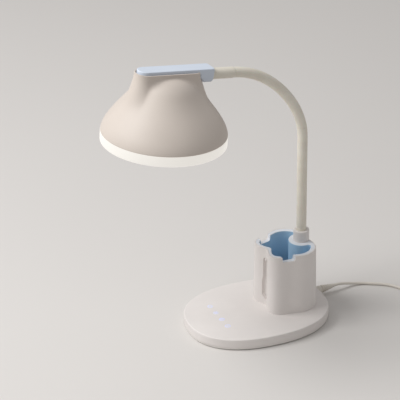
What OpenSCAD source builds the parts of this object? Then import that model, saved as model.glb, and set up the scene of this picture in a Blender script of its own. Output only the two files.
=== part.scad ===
// Desk lamp with a weighted oval base, a lobed pen cup on it, a flexible neck and a bell-shaped shade.
// Millimetres. The origin is the middle of the base on the desk, +Y is the back and -Y the user's side.

/* [Base] */
// Width of the oval base
base_w = 126.6; // [126:0.2:132]
// Length of the oval base
base_l = 169.6; // [168:0.2:174]
// Turn of the base against the cup and the neck, in degrees
base_turn = -8.2; // [-9:0.1:-6]
// Height of the base over the desk
base_h = 14; // [14:0.5:18]
// Height of the bottom cover that shows under the top cover
seam_h = 2.8; // [2.6:0.1:3]
// Wall of the base's covers
base_wall = 2.2; // [1.8:0.1:2.4]
// Thickness of the steel ballast plate
ballast_h = 4; // [3:0.5:4]

/* [Touch keys] */
// Distance from key to key
key_pitch = 15.8; // [14:0.1:16]
// Radius of one key's light guide
key_r = 3.6; // [3:0.1:4]
// Place of the middle of the row of keys along the base
key_y = -44.6; // [-46:0.1:-43]

/* [Organizer cup] */
// Height of the cup's rim over the desk
cup_top = 88.4; // [70:0.2:95]
// Wall of the white outer shell
shell_wall = 1.6; // [1.4:0.1:2]
// Width of the rim, from the outside of the shell to the mouth of the cup
rim_w = 6.2; // [5:0.1:7]
// Width of the two notches that hold a phone
notch_w = 14.9; // [12:0.1:16]
// Depth of the two notches
notch_h = 6.5; // [5:0.5:8]

/* [Pole and neck] */
// Radius of the collar that stands behind the cup
collar_r = 9.2; // [8.6:0.1:9.4]
// Height of the collar's top over the desk
collar_top = 101.8; // [98:0.2:104]
// Radius of the sleeve on the pole and of the neck
neck_r = 5.8; // [5.6:0.1:6.2]
// Height over the desk at which the flexible neck begins
neck_z = 219.8; // [200:0.2:240]
// Length of one link of the neck
link_len = 23.65; // [20:0.05:26]

/* [Head] */
// Radius of the opal diffuser
lens_r = 68.5; // [68:0.1:70]
// Height of the diffuser's glowing band
lens_h = 11.6; // [11:0.1:13]
// Height of the shade's top over the diffuser's lower edge
shade_h = 80.3; // [76:0.1:84]
// Half the length of the shade's narrow top
top_half_l = 38.5; // [36:0.5:42]
// Half the width of the shade's narrow top
top_half_w = 12; // [11:0.5:14]
// Angle between the shade's top and its rim
top_tilt = 4.4; // [0:0.1:8]

/* [Power cord] */
// Diameter of the cord
cord_d = 3.5; // [3:0.1:4]
// Number of turns in the coil
coil_turns = 8; // [6:1:10]

/* [Hidden] */
$fn = 64;

// Clearance between pieces that touch but aren't joined
gap = 0.05;
// Length by which a cut runs past a face
over = 1;

// The base's outline is an oval a little squarer than an ellipse, round this middle
base_mid = [0.9, 1.5];
base_steps = 96;
base_square = 2.3;
// Height of each step of the rounded top edge over the desk, and how far it is drawn in
edge_steps = [[base_h - 1.1, 0], [base_h - 0.65, 0.15], [base_h - 0.3, 0.45], [base_h, 1.1]];

// Inside the base: the screws are placed along its own length and width
pad_h = 1.2;
pad_sink = 0.6;
plate_low = 0.6;
roof_z = base_h - base_wall;
ballast_top = seam_h + gap + ballast_h;
lip_h = 1.4;
base_screw_at = [40.5, 45];
boss_r = 3.5;
screw_r = 1.45;
head_r = 2.7;

// The row of keys and the board below it, both turned a little
key_mid = -5.6;
key_turn = -4;
board_l = 66;
board_w = 26;
board_z = 8;
board_h = 1.6;
board_screw_r = 0.95;

// The pole stands here, at the back of the cup
pole_y = 62;
pole_r = 4.6;
pole_bore = 3.4;
flange_r = 11;
flange_h = 2.5;
collar_step = 90;

// The cup's outline: the mean radius round its middle, and the size of its first to sixth waves
cup_mid = 40.5;
cup_waves = [33.1, 1.2, -2.3, -0.6, -2.8, 1.3, -0.9];
cup_steps = 120;
cup_draft = 1.2;
cup_floor = 22;
cup_bulge = 14.7;
mouth_round = 2.5;
liner_wall = 1.8;
flange_t = 1.6;
notch_y = 28;
cup_screw_at = [[-18, 28], [18, 28], [0, 38]];

// The recess in the front wall of the cup: its upper part is narrower than its lower part
recess_top_w = 9.2;
recess_low_w = 11.4;
recess_low = 20;
recess_step = 46;
recess_high = 76;
recess_in = 3;
rib_t = 2.5;

// How far each of the neck's links bends, in degrees, from the pole to the head
link_bend = [18.5, 12.5, 11, 10, 13.5, 14.8];
link_gap = 1.3;
ball_r = 5;
cup_r = 5.3;
wire_r = 1.6;

// The head's spine, measured from the middle of the shade's top, along the arm
neck_to_top = 81.7;
arm_drop = 5.65;
spine_half_w = 9;
spine_rise = 3;
recess_deep = 2.6;
recess_half_w = 10.4;
block_start = 35;
block_end = 52.7;
block_low = -12.5;
ferrule_r = 6.2;
spigot_r = 4.5;
spigot_len = 10;

// The bell of the shade: it draws in to a waist, a dome closes it, and the narrow top stands through the dome
rim_r = 68.5;
waist_r = 41.3;
bell_start = 9;
bell_len = 54;
dome_start = 30;
dome_top = 77;
dome_power = 2.4;
top_flare = 5;
flare_len = 30;
dome_round = 9;
shade_wall = 2.2;
shade_steps = 64;
shade_levels = [lens_h + gap, 16, 20, 25, 31, 37, 43, 49, 54, 59, 63, 66.5, 69.5, 72, 74, 75.5, 76.5, 77.2, 78.6,
                shade_h];
shade_cavity = shade_h - recess_deep - shade_wall;

// Inside the head
led_z = 10;
led_plate_h = 1.5;
led_plate_r = 64.4;
head_boss_at = 58;

// The plug in the back of the base, and the cord's route from it: points chosen by hand
plug_x = -6;
plug_z = 8;
plug_y = 85;
grip_end = plug_y + 9;
relief_end = plug_y + 28;
jack_y = plug_y - 11.8;
route_points = [[-6, 113, 8], [-6, 117, 8], [-6, 124, 6.9], [-5.8, 131, 5.3], [-5, 138, 3.7],
                [-3.3, 145, 2.5], [-0.5, 152, 1.9], [4, 158.3, 1.8], [9, 165.5, 1.8],
                [15, 172.5, 1.8], [22.5, 178.7, 1.8], [30.5, 183, 1.8], [38.5, 186.6, 2],
                [46, 190, 2.4]];

// The coil: its middle, its outer radius, the step from turn to turn and the height of its layers
coil_mid = [45, 222];
coil_r = 28.5;
coil_step = 4.1;
coil_low = 2.5;
coil_rise = 4.1;
coil_start = -60;
coil_rings = 24;
coil_sides = 6;
tie_wall = 0.6;

// The tail of the cord, from the end of the coil to the connector beside it
tail_points = [[70, 203.6, 6.2], [74.6, 206.3, 5.5], [78.5, 209.1, 4.9], [81.4, 212.4, 4.3],
               [83.2, 216, 4], [84, 219, 4]];
usb_heading = 75;
grip_l = 22;
usb_l = 14;

// ---------------------------------------------------------------- functions

function unit(v) = v / norm(v);
function clamp(x) = min(1, max(0, x));
function smooth(x) = let (c = clamp(x)) c * c * (3 - 2 * c);
function signed_pow(x, p) = sign(x) * pow(abs(x), p);
function sum(v, n) = n == 0 ? 0 : v[n - 1] + sum(v, n - 1);

// Outline of the base, drawn in by d
function base_outline(d) = [for (i = [0 : base_steps - 1])
    let (a = 360 * i / base_steps,
         x = (base_w / 2 - d) * signed_pow(cos(a), 2 / base_square),
         y = (base_l / 2 - d) * signed_pow(sin(a), 2 / base_square))
    [base_mid[0] + x * cos(base_turn) - y * sin(base_turn),
     base_mid[1] + x * sin(base_turn) + y * cos(base_turn)]];

// Outline of the cup, drawn in by d
function cup_radius(a) = cup_waves[0] + cup_waves[1] * cos(a) + cup_waves[2] * cos(2 * a)
    + cup_waves[3] * cos(3 * a) + cup_waves[4] * cos(4 * a) + cup_waves[5] * cos(5 * a)
    + cup_waves[6] * cos(6 * a);
function cup_outline(d) = [for (i = [0 : cup_steps - 1])
    let (a = 360 * i / cup_steps, r = cup_radius(a) - d)
    [-r * sin(a), cup_mid + r * cos(a)]];
function draft_at(z) = cup_draft * (cup_top - z) / (cup_top - base_h);

// The neck's joints lie in the plane X = 0: the heading, from upright to forward, and the place of each
function heading(k) = sum(link_bend, k);
function joint_at(k) = k == 0 ? [0, pole_y, neck_z] :
    let (a = heading(k - 1), b = heading(k), r = link_len / link_bend[k - 1] * 180 / PI)
    joint_at(k - 1) + r * [0, cos(b) - cos(a), sin(b) - sin(a)];

// Radius of the shade at an angle a from the arm's direction, at height h over the rim
// The dome and the narrow top are joined by a rounded valley
function stadium_radius(a) =
    let (c = abs(cos(a)), s = abs(sin(a)), mid = top_half_l - top_half_w,
         side = top_half_w / max(s, 0.001))
    side * c <= mid ? side : mid * c + sqrt(pow(top_half_w, 2) - pow(mid * s, 2));
function bell_radius(h) = waist_r + (rim_r - waist_r) * (1 - smooth((h - bell_start) / bell_len));
function dome_radius(h) =
    let (up = clamp((h - dome_start) / (dome_top - dome_start)))
    bell_radius(h) * pow(1 - pow(up, dome_power), 1 / dome_power);
function shade_radius(a, h) =
    let (top = stadium_radius(a) + top_flare * smooth((shade_h - h) / flare_len))
    pow(pow(dome_radius(h), dome_round) + pow(top, dome_round), 1 / dome_round);
function shade_ring(h, inset, lift) = [for (i = [0 : shade_steps - 1])
    let (a = 360 * i / shade_steps,
         r = shade_radius(a, min(h + lift, shade_h)) - inset,
         y = r * cos(a),
         dip = tan(top_tilt) * y * smooth((h - 30) / (shade_h - 30)))
    [-r * sin(a), y, h - dip]];

// One ring of a tube round p, square to the direction t
function tube_ring(p, t, r, sides, up) =
    let (across = unit(cross(t, up)), away = cross(t, across))
    [for (j = [0 : sides - 1]) p + r * (cos(360 * j / sides) * across + sin(360 * j / sides) * away)];
function route_heading(route, i) =
    unit(route[min(i + 1, len(route) - 1)] - route[max(i - 1, 0)]);
function tube_rings(route, r, sides, up) =
    [for (i = [0 : len(route) - 1]) tube_ring(route[i], route_heading(route, i), r, sides, up)];

// The coil winds in and out again, and climbs a layer in the half turn where it reverses
function coil_point(t) =
    let (r = coil_r - coil_step * (coil_turns / 2 - abs(t - coil_turns / 2)),
         z = coil_low + coil_rise * smooth(2 * (t - coil_turns / 2) + 0.5),
         a = coil_start + 360 * t)
    [coil_mid[0] + r * cos(a), coil_mid[1] + r * sin(a), z];
coil_count = coil_turns * coil_rings;
coil_heading = [cos(coil_start + 90), sin(coil_start + 90), 0];
coil_in = coil_point(0) - cord_d * coil_heading;
coil_out = coil_point(coil_turns) + cord_d * coil_heading;
coil_route = [coil_in, for (i = [0 : coil_count]) coil_point(i / coil_rings), coil_out];
cord_route = [each route_points, coil_in - 1.5 * cord_d * coil_heading, coil_in];
cord_tail_route = [coil_out, coil_out + cord_d * coil_heading, each tail_points];

// The least gap between the coil's turns, over points more than half a turn apart
coil_gap = min([for (i = [0 : coil_count - 13]) for (j = [i + 13 : coil_count])
    norm(coil_route[i + 1] - coil_route[j + 1])]) - cord_d;
echo(coil_least_gap = coil_gap);

function route_length(route) =
    [for (i = [1 : len(route) - 1]) norm(route[i] - route[i - 1])] * [for (i = [1 : len(route) - 1]) 1];
echo(cord_length = route_length(cord_route) + route_length(coil_route) + route_length(cord_tail_route));
echo(neck_joints = [for (k = [0 : 6]) joint_at(k)]);

// ---------------------------------------------------------------- shared shapes

// A closed skin over rings of points, each ring running the same way round
module skin(rings) {
    s = len(rings[0]);
    n = len(rings);
    polyhedron(
        points = [for (ring = rings) each ring],
        faces = [for (i = [0 : n - 2]) for (j = [0 : s - 1]) each
                     [[i * s + j, (i + 1) * s + j, (i + 1) * s + (j + 1) % s],
                      [i * s + j, (i + 1) * s + (j + 1) % s, i * s + (j + 1) % s]],
                 for (j = [1 : s - 2]) each
                     [[0, j, j + 1],
                      [(n - 1) * s, (n - 1) * s + j + 1, (n - 1) * s + j]]]);
}

module tube(route, r, sides, up = [0, 0, 1]) {
    skin(tube_rings(route, r, sides, up));
}

module base_slab(d, low, high) {
    translate([0, 0, low]) linear_extrude(high - low) polygon(base_outline(d));
}

module cup_slab(d, low, high) {
    translate([0, 0, low]) linear_extrude(high - low) polygon(cup_outline(d));
}

module at_pole() {
    translate([0, pole_y, 0]) children();
}

module at_base_screws() {
    translate([base_mid[0], base_mid[1], 0]) rotate(base_turn) for (x = [-1, 1]) for (y = [-1, 1])
        translate([x * base_screw_at[0], y * base_screw_at[1], 0]) children();
}

module at_board() {
    translate([key_mid, key_y, 0]) rotate(key_turn) children();
}

module at_keys() {
    at_board() for (k = [0 : 3]) translate([(k - 1.5) * key_pitch, 0, 0]) children();
}

module at_board_corners() {
    at_board() for (x = [-1, 1]) for (y = [-1, 1])
        translate([x * (board_l / 2 - 3.5), y * (board_w / 2 - 3.5), 0]) children();
}

// The spine's frame: its origin is the middle of the shade's top, +Y towards the neck
module in_spine() {
    translate(joint_at(6)) rotate([heading(6) - 90, 0, 0]) translate([0, -neck_to_top, arm_drop]) children();
}

// The head's frame: its origin is the middle of the diffuser's lower edge
module in_head() {
    in_spine() rotate([top_tilt, 0, 0]) translate([0, 0, -shade_h]) children();
}

module stadium(half_l, half_w) {
    for (y = [-1, 1]) translate([0, y * (half_l - half_w)]) circle(half_w);
    square([2 * half_w, 2 * (half_l - half_w)], center = true);
}

// ---------------------------------------------------------------- base

module base_cover() {
    color("#e9e5df") difference() {
        union() {
            difference() {
                hull() {
                    base_slab(0, seam_h, edge_steps[0][0]);
                    for (e = edge_steps) base_slab(e[1], e[0] - 0.01, e[0]);
                }
                base_slab(base_wall, seam_h - over, roof_z);
            }
            at_base_screws() translate([0, 0, seam_h + gap]) cylinder(h = roof_z - seam_h, r = boss_r);
            at_board_corners() translate([0, 0, board_z + board_h + gap]) cylinder(h = roof_z - board_z - board_h, r = 2);
        }
        at_base_screws() translate([0, 0, seam_h - over]) cylinder(h = 8, r = screw_r + gap);
        for (p = cup_screw_at) translate([p[0], p[1], roof_z - over]) cylinder(h = base_wall + 2 * over, r = screw_r + 0.15);
        at_board_corners() translate([0, 0, board_z]) cylinder(h = roof_z - board_z, r = board_screw_r + gap);
        at_keys() translate([0, 0, roof_z - over]) cylinder(h = base_wall + 2 * over, r = key_r + gap);
        at_pole() translate([0, 0, roof_z - over]) cylinder(h = base_wall + 2 * over, r = pole_r + gap);
        translate([plug_x, plug_y + over, plug_z]) rotate([90, 0, 0]) cylinder(h = base_wall + 3 * over, r = 3.2);
        translate([plug_x, plug_y, plug_z]) rotate([-90, 0, 0]) cylinder(h = 9, r = 5.3);
    }
}

module base_bottom() {
    color("#dedad3") difference() {
        union() {
            base_slab(1.2, plate_low, seam_h);
            difference() {
                base_slab(base_wall + 0.3, seam_h - over / 2, seam_h + lip_h);
                base_slab(base_wall + 1.7, seam_h - over, seam_h + lip_h + over);
            }
        }
        base_slab(9, plate_low - over, plate_low + pad_sink);
        at_base_screws() {
            translate([0, 0, pad_h]) cylinder(h = 1.45, r1 = head_r + gap, r2 = screw_r + gap);
            cylinder(h = seam_h + over, r = screw_r + gap);
        }
    }
}

module base_pad() {
    color("#3b3d40") base_slab(9.3, 0, pad_h);
}

module ballast_plate() {
    color("#8d9196") difference() {
        base_slab(8, seam_h + gap, ballast_top);
        at_base_screws() cylinder(h = base_h, r = boss_r + 0.5);
        for (a = [30, 150, 270]) at_pole() rotate(a) translate([flange_r - 3, 0, 0]) cylinder(h = base_h, r = screw_r + gap);
        at_pole() cylinder(h = base_h, r = pole_r + gap);
        translate([plug_x - 7, plug_y - 13, 0]) cube([14, 14, base_h]);
    }
}

module base_screws() {
    color("#9a9ca0") at_base_screws() translate([0, 0, pad_h + gap]) {
        cylinder(h = 1.35, r1 = head_r, r2 = screw_r);
        cylinder(h = 7, r = screw_r);
    }
}

module control_board() {
    color("#2f6b4f") difference() {
        at_board() translate([-board_l / 2, -board_w / 2, board_z]) cube([board_l, board_w, board_h]);
        at_board_corners() cylinder(h = base_h, r = board_screw_r + 0.15);
    }
}

module board_screws() {
    color("#9a9ca0") at_board_corners() {
        translate([0, 0, board_z - 0.9]) cylinder(h = 0.9 - gap, r = 1.9);
        translate([0, 0, board_z - 0.5]) cylinder(h = 3.6, r = board_screw_r);
    }
}

module key_leds() {
    color("#f4f0d8") at_keys() translate([-1.5, -1.5, board_z + board_h]) cube([3, 3, 0.8]);
}

module key_light_guides() {
    color("#dfe4f5") at_keys() translate([0, 0, board_z + board_h + 1]) cylinder(h = base_h - board_z - board_h - 1, r = key_r);
}

module touch_springs() {
    color("#c9a24a") at_keys() translate([0, 0, board_z + board_h + gap]) difference() {
        cylinder(h = roof_z - board_z - board_h - 2 * gap, r = 5.2);
        translate([0, 0, -over]) cylinder(h = base_h, r = 4.5);
    }
}

module dc_jack() {
    color("#26282b") difference() {
        translate([plug_x - 4.5, jack_y, 4.4]) cube([9, 9.2, 7.2]);
        translate([plug_x, plug_y, plug_z]) rotate([90, 0, 0]) cylinder(h = 10, r = 2.8);
    }
}

// The lead leaves the jack's left side and passes the pole's flange
module base_lead() {
    color("#2a2a2e") tube([[plug_x - 4.55, 77.5, 8.8], [-12, 77.5, 8.8], [-14, 76.2, 8.8], [-15, 73.6, 8.8],
                           [-15, 68, 8.8], [-14.6, 58, 8.8], [-14, 48, 8.8], [-12, 34, 8.8], [-11, 18, 8.8],
                           [-12, 0, 8.8], [-14, -16, 8.8], [-14, -26, 8.8],
                           [-14, key_y + board_w / 2 + 0.65, 8.8]], 1.1, 8);
}

// ---------------------------------------------------------------- organizer cup

module cup_notches() {
    for (side = [-1, 1])
        translate([side * 30 - 15, notch_y - notch_w / 2, cup_top - notch_h]) cube([30, notch_w, notch_h + over]);
}

// The mouth of the cup goes round the collar, and its narrow ends are rounded
module cup_mouth(low, high, grow) {
    translate([0, 0, low]) linear_extrude(high - low) offset(r = mouth_round) offset(delta = -mouth_round) difference() {
        polygon(cup_outline(rim_w - grow));
        translate([0, pole_y]) circle(cup_bulge - grow);
    }
}

// The outside of the cup, drawn in by d
module cup_body(d) {
    skin([for (z = [base_h, base_h + 3, cup_top]) [for (p = cup_outline(d - draft_at(z))) [p[0], p[1], z]]]);
}

module organizer_shell() {
    color("#efebe6") difference() {
        union() {
            difference() {
                cup_body(0);
                cup_slab(shell_wall, base_h + 2.4, cup_top + over);
            }
            for (p = cup_screw_at) translate([p[0], p[1], base_h]) cylinder(h = cup_floor - base_h - gap, r = boss_r);
            intersection() {
                difference() {
                    cup_slab(shell_wall - 0.4, base_h + 1, recess_high + 2);
                    cup_slab(shell_wall + rib_t, base_h, recess_high + 3);
                }
                translate([-recess_low_w / 2 - 1, 0, 0]) cube([recess_low_w + 2, 30, cup_top]);
            }
        }
        for (p = cup_screw_at) translate([p[0], p[1], base_h - over]) cylinder(h = cup_floor - base_h - 1, r = screw_r + gap);
        at_pole() translate([0, 0, base_h - over]) cylinder(h = cup_top, r = collar_r + 0.2);
        cup_notches();
        front_recess();
    }
}

// The recess keeps the same depth all over, so it leaves a body drawn in by its depth
module front_recess() {
    difference() {
        translate([0, cup_mid - 15, 0]) rotate([90, 0, 0]) linear_extrude(40) {
            hull() {
                for (x = [-1, 1]) translate([x * (recess_top_w / 2 - 3.2), recess_high - 3.2]) circle(3.2);
                translate([-recess_top_w / 2, recess_step]) square([recess_top_w, 4]);
            }
            polygon([[-recess_low_w / 2, recess_step - 1], [recess_low_w / 2, recess_step - 1],
                     [recess_top_w / 2, recess_step + 4], [-recess_top_w / 2, recess_step + 4]]);
            hull() {
                translate([-recess_low_w / 2, recess_step - 1]) square([recess_low_w, 0.1]);
                for (x = [-1, 1]) translate([x * (recess_low_w / 2 - 5), recess_low + 8]) circle(5);
                translate([0, recess_low + 1]) circle(1);
            }
        }
        cup_body(recess_in);
    }
}

module organizer_liner() {
    color("#7fa3c4") difference() {
        union() {
            intersection() {
                cup_mouth(cup_floor, cup_top - gap, liner_wall);
                cup_slab(shell_wall + gap, cup_floor, cup_top);
            }
            cup_slab(shell_wall + gap, cup_top - flange_t, cup_top - 0.3);
            intersection() {
                cup_slab(shell_wall + gap, cup_top - notch_h - liner_wall, cup_top - 0.3);
                translate([-60, notch_y - notch_w / 2 - liner_wall, 0]) cube([120, notch_w + 2 * liner_wall, 200]);
            }
        }
        cup_mouth(cup_floor + liner_wall, cup_top + over, 0);
        at_pole() cylinder(h = cup_top + over, r = collar_r + 0.2);
        cup_notches();
    }
}

module organizer_screws() {
    color("#9a9ca0") for (p = cup_screw_at) translate([p[0], p[1], 0]) {
        translate([0, 0, roof_z - 2]) cylinder(h = 2 - gap, r = head_r);
        translate([0, 0, roof_z - 1]) cylinder(h = 9, r = screw_r);
    }
}

// ---------------------------------------------------------------- pole

module pole_tube() {
    color("#a9adb2") at_pole() difference() {
        union() {
            translate([0, 0, seam_h + 0.4]) cylinder(h = neck_z - 8 - seam_h, r = pole_r);
            translate([0, 0, ballast_top + gap]) cylinder(h = flange_h, r = flange_r);
        }
        cylinder(h = neck_z, r = pole_bore);
        for (a = [30, 150, 270]) rotate(a) translate([flange_r - 3, 0, 0]) cylinder(h = base_h, r = screw_r + gap);
    }
}

module pole_screws() {
    color("#9a9ca0") at_pole() for (a = [30, 150, 270]) rotate(a) translate([flange_r - 3, 0, 0]) {
        translate([0, 0, ballast_top + flange_h + 2 * gap]) cylinder(h = 1.8, r = 2.6);
        translate([0, 0, seam_h + 1]) cylinder(h = ballast_h + flange_h, r = screw_r);
    }
}

module pole_collar() {
    color("#efece7") at_pole() difference() {
        union() {
            translate([0, 0, base_h + gap]) cylinder(h = collar_top - base_h - gap - 0.6, r = collar_r);
            translate([0, 0, collar_top - 0.6]) cylinder(h = 0.6, r1 = collar_r, r2 = collar_r - 0.6);
        }
        cylinder(h = collar_top, r = pole_r + gap);
        translate([0, 0, collar_step]) cylinder(h = collar_top, r = neck_r + gap);
    }
}

module pole_sleeve() {
    color("#e3dfd3") at_pole() difference() {
        union() {
            translate([0, 0, collar_step + gap]) cylinder(h = neck_z - link_gap - collar_step - gap, r = neck_r);
            translate([0, 0, neck_z]) sphere(ball_r);
        }
        translate([0, 0, collar_step - over]) cylinder(h = neck_z - 6 - collar_step, r = pole_r + gap);
        cylinder(h = neck_z + 2 * ball_r, r = wire_r);
    }
}

// ---------------------------------------------------------------- neck

// One link: an arc with a cup at its start and a ball at its end, bored for the wires
module neck_link(k) {
    bend = link_bend[k - 1];
    r = link_len / bend * 180 / PI;
    skip = link_gap / r * 180 / PI;
    color("#e3dfd3") translate(joint_at(k - 1)) rotate([heading(k - 1), 0, 0]) difference() {
        union() {
            translate([0, -r, 0]) rotate([90, 0, 90]) rotate(skip)
                rotate_extrude(angle = bend - 2 * skip, $fn = 360) translate([r, 0]) circle(neck_r);
            translate([0, r * (cos(bend) - 1), r * sin(bend)]) sphere(ball_r);
        }
        sphere(cup_r);
        translate([0, -r, 0]) rotate([90, 0, 90]) rotate(-2)
            rotate_extrude(angle = bend + 8, $fn = 360) translate([r, 0]) circle(wire_r);
    }
}

module neck_link_1() { neck_link(1); }
module neck_link_2() { neck_link(2); }
module neck_link_3() { neck_link(3); }
module neck_link_4() { neck_link(4); }
module neck_link_5() { neck_link(5); }
module neck_link_6() { neck_link(6); }

module neck_ferrule() {
    reach = neck_to_top - block_end;
    color("#dcd7cb") translate(joint_at(6)) rotate([heading(6), 0, 0]) difference() {
        union() {
            translate([0, 0, link_gap]) cylinder(h = reach - link_gap - gap, r = ferrule_r);
            translate([0, 0, link_gap]) cylinder(h = reach - link_gap + spigot_len, r = spigot_r);
        }
        sphere(cup_r);
        cylinder(h = 2 * reach, r = wire_r);
    }
}

// ---------------------------------------------------------------- head

module spine_outline(d) {
    half = top_half_l - 2.5 - d;
    w = spine_half_w - d;
    translate([0, w - half]) circle(w);
    translate([-w, w - half]) square([2 * w, half - w + block_end - 3]);
    translate([3 - w - d, block_end - 4]) square([2 * (w - 3 + d), 4 - d]);
    for (x = [-1, 1]) translate([x * (w - 3), block_end - 3 - d]) circle(3);
}

module head_spine() {
    color("#a8bdd6") in_spine() difference() {
        union() {
            translate([0, 0, gap - recess_deep]) linear_extrude(recess_deep + spine_rise - 0.6 - gap) spine_outline(0);
            translate([0, 0, spine_rise - 0.6]) linear_extrude(0.6) spine_outline(0.5);
            hull() {
                translate([-spine_half_w, block_start, -6]) cube([2 * spine_half_w, block_end - block_start, 6]);
                translate([-spine_half_w + 1, block_start + 4, block_low])
                    cube([2 * spine_half_w - 2, block_end - block_start - 4.5, 3]);
            }
        }
        translate([0, block_end + over, -arm_drop]) rotate([90, 0, 0]) cylinder(h = spigot_len + over + 0.5, r = spigot_r + gap);
        translate([0, block_end - spigot_len + 1, -arm_drop]) rotate([90, 0, 0]) cylinder(h = 9, r = 2);
        for (y = [-24, 10]) translate([0, y, -recess_deep - over]) cylinder(h = over + 3.4, r = screw_r + gap);
        translate([0, 25, 0]) mirror([0, 0, 1]) translate([0, 0, -0.8]) cylinder(h = 4, r = 4);
        translate([-2, 25, -4.5]) cube([4, 14, 5.3]);
    }
}

module spine_screws() {
    color("#9a9ca0") in_spine() for (y = [-24, 10]) translate([0, y, -recess_deep]) {
        translate([0, 0, -shade_wall - 1.95]) cylinder(h = 1.9, r = head_r);
        translate([0, 0, -shade_wall - 1]) cylinder(h = shade_wall + 3.8, r = screw_r);
    }
}

module shade() {
    inner_levels = [for (h = shade_levels) if (h < shade_cavity) h, shade_cavity];
    color("#cdc4ba") difference() {
        union() {
            difference() {
                in_head() skin([for (h = shade_levels) shade_ring(h, 0, 0)]);
                in_head() skin([for (h = inner_levels)
                    shade_ring(h == inner_levels[0] ? h - over : h, shade_wall, 1.6)]);
            }
            in_head() for (a = [45 : 90 : 315]) rotate(a) translate([head_boss_at, 0, led_z + led_plate_h + gap])
                cylinder(h = 14.4, r = 3.2);
            in_head() translate([0, 0, 7.5]) difference() {
                cylinder(h = 5.8, r = lens_r - 2.1, $fn = 128);
                translate([0, 0, -over]) cylinder(h = 8, r = led_plate_r + 0.4, $fn = 128);
            }
        }
        in_spine() translate([0, 0, -recess_deep]) linear_extrude(20)
            stadium(top_half_l - top_half_w + recess_half_w, recess_half_w);
        in_spine() translate([-spine_half_w - 0.1, 20, -recess_deep]) cube([2 * spine_half_w + 0.2, 40, 20]);
        in_spine() translate([-spine_half_w - 0.1, block_start - 0.1, block_low - 0.1])
            cube([2 * spine_half_w + 0.2, 40, 40]);
        in_spine() for (y = [-24, 10]) translate([0, y, -12]) cylinder(h = 20, r = screw_r + 0.15);
        in_spine() translate([0, 25, -20]) cylinder(h = 30, r = 4);
        in_head() for (a = [45 : 90 : 315]) rotate(a) translate([head_boss_at, 0, 0])
            cylinder(h = 24, r = screw_r + gap);
    }
}

module led_plate() {
    color("#c3c7cb") in_head() difference() {
        translate([0, 0, led_z]) cylinder(h = led_plate_h, r = led_plate_r, $fn = 128);
        for (a = [45 : 90 : 315]) rotate(a) translate([head_boss_at, 0, 0]) cylinder(h = 24, r = screw_r + 0.15);
        translate([0, 6, 0]) cylinder(h = 24, r = 2.5);
    }
}

module led_chips() {
    color("#f2e3a8") in_head() {
        for (i = [0 : 15]) rotate(i * 360 / 16) translate([44, -1.75, led_z - 0.7]) cube([2.8, 3.5, 0.7]);
        for (i = [0 : 7]) rotate(i * 360 / 8) translate([21, -1.75, led_z - 0.7]) cube([2.8, 3.5, 0.7]);
    }
}

module head_screws() {
    color("#9a9ca0") in_head() for (a = [45 : 90 : 315]) rotate(a) translate([head_boss_at, 0, led_z]) {
        translate([0, 0, -1.9]) cylinder(h = 1.9 - gap, r = head_r);
        translate([0, 0, -1]) cylinder(h = 13, r = screw_r);
    }
}

module head_lead() {
    color("#2a2a2e") in_head() tube([[0, 6, led_z + led_plate_h + 0.1], [0, 6, 16], [0, 8, 24], [0, 13, 34], [0, 19, 44],
                                     [0, 23, 54], [0, 25.5, 62], [0, 27.5, 68], [0, 28, 72]], 1.1, 8, [1, 0, 0]);
}

module diffuser() {
    round_r = 1.6;
    color("#fdfcf8") in_head() rotate_extrude($fn = 128) difference() {
        union() {
            translate([0, 0.8]) square([lens_r - round_r, 1.8]);
            translate([lens_r - round_r, round_r]) circle(round_r, $fn = 32);
            translate([lens_r - 2, round_r]) square([2, lens_h - round_r]);
        }
        translate([-10, -10]) square([10, 30]);
    }
}

// ---------------------------------------------------------------- power cord

module dc_plug() {
    color("#e8e5de") translate([plug_x, 0, plug_z]) {
        translate([0, plug_y - 9, 0]) rotate([-90, 0, 0]) cylinder(h = 9.4, r = 2.75);
        translate([0, plug_y + 0.3, 0]) rotate([-90, 0, 0]) cylinder(h = grip_end - plug_y - 0.3, r = 4.8);
    }
}

// The tapered strain relief carries rings
module plug_relief() {
    length = relief_end - grip_end;
    rings = 6;
    color("#e8e5de") translate([plug_x, grip_end, plug_z]) rotate([-90, 0, 0]) {
        cylinder(h = length, r1 = 4, r2 = cord_d / 2 + 0.35);
        for (i = [0 : rings - 1]) translate([0, 0, 0.8 + i * (length - 2) / rings])
            cylinder(h = 1.5, r = 4.7 - 0.42 * i);
    }
}

module cord_run() {
    color("#e8e5de") tube(cord_route, cord_d / 2, 8);
}

module cord_coil() {
    color("#e8e5de") tube(coil_route, cord_d / 2, coil_sides);
}

module cord_tail() {
    color("#e8e5de") tube(cord_tail_route, cord_d / 2, 8);
}

// The tie goes round all the turns on the side away from the ends
module cord_tie() {
    inner = coil_r - coil_step * coil_turns / 2 - cord_d / 2 - 1;
    outer = coil_r + cord_d / 2 + 0.5;
    low = coil_low - cord_d / 2 - 0.1;
    top = coil_low + coil_rise + cord_d / 2 + 0.1;
    color("#d9d6cf") translate([coil_mid[0], coil_mid[1], 0]) rotate(100) difference() {
        translate([inner - tie_wall, -4, low - tie_wall]) cube([outer - inner + 2 * tie_wall, 8, top - low + 2 * tie_wall]);
        translate([inner, -5, low]) cube([outer - inner, 10, top - low]);
    }
}

module at_usb() {
    translate(cord_tail_route[len(cord_tail_route) - 1]) rotate(usb_heading) rotate([0, 90, 0]) children();
}

module usb_grip() {
    color("#e8e5de") at_usb() {
        cylinder(h = 7, r1 = cord_d / 2 + 0.5, r2 = 3.4);
        translate([-3.9, -6.5, 6]) cube([7.8, 13, grip_l - 6]);
    }
}

module usb_shell() {
    color("#c8ccd1") at_usb() difference() {
        translate([-2.25, -6, grip_l]) cube([4.5, 12, usb_l]);
        translate([-1.9, -5.6, grip_l + 3]) cube([3.8, 11.2, usb_l]);
    }
}

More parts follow.
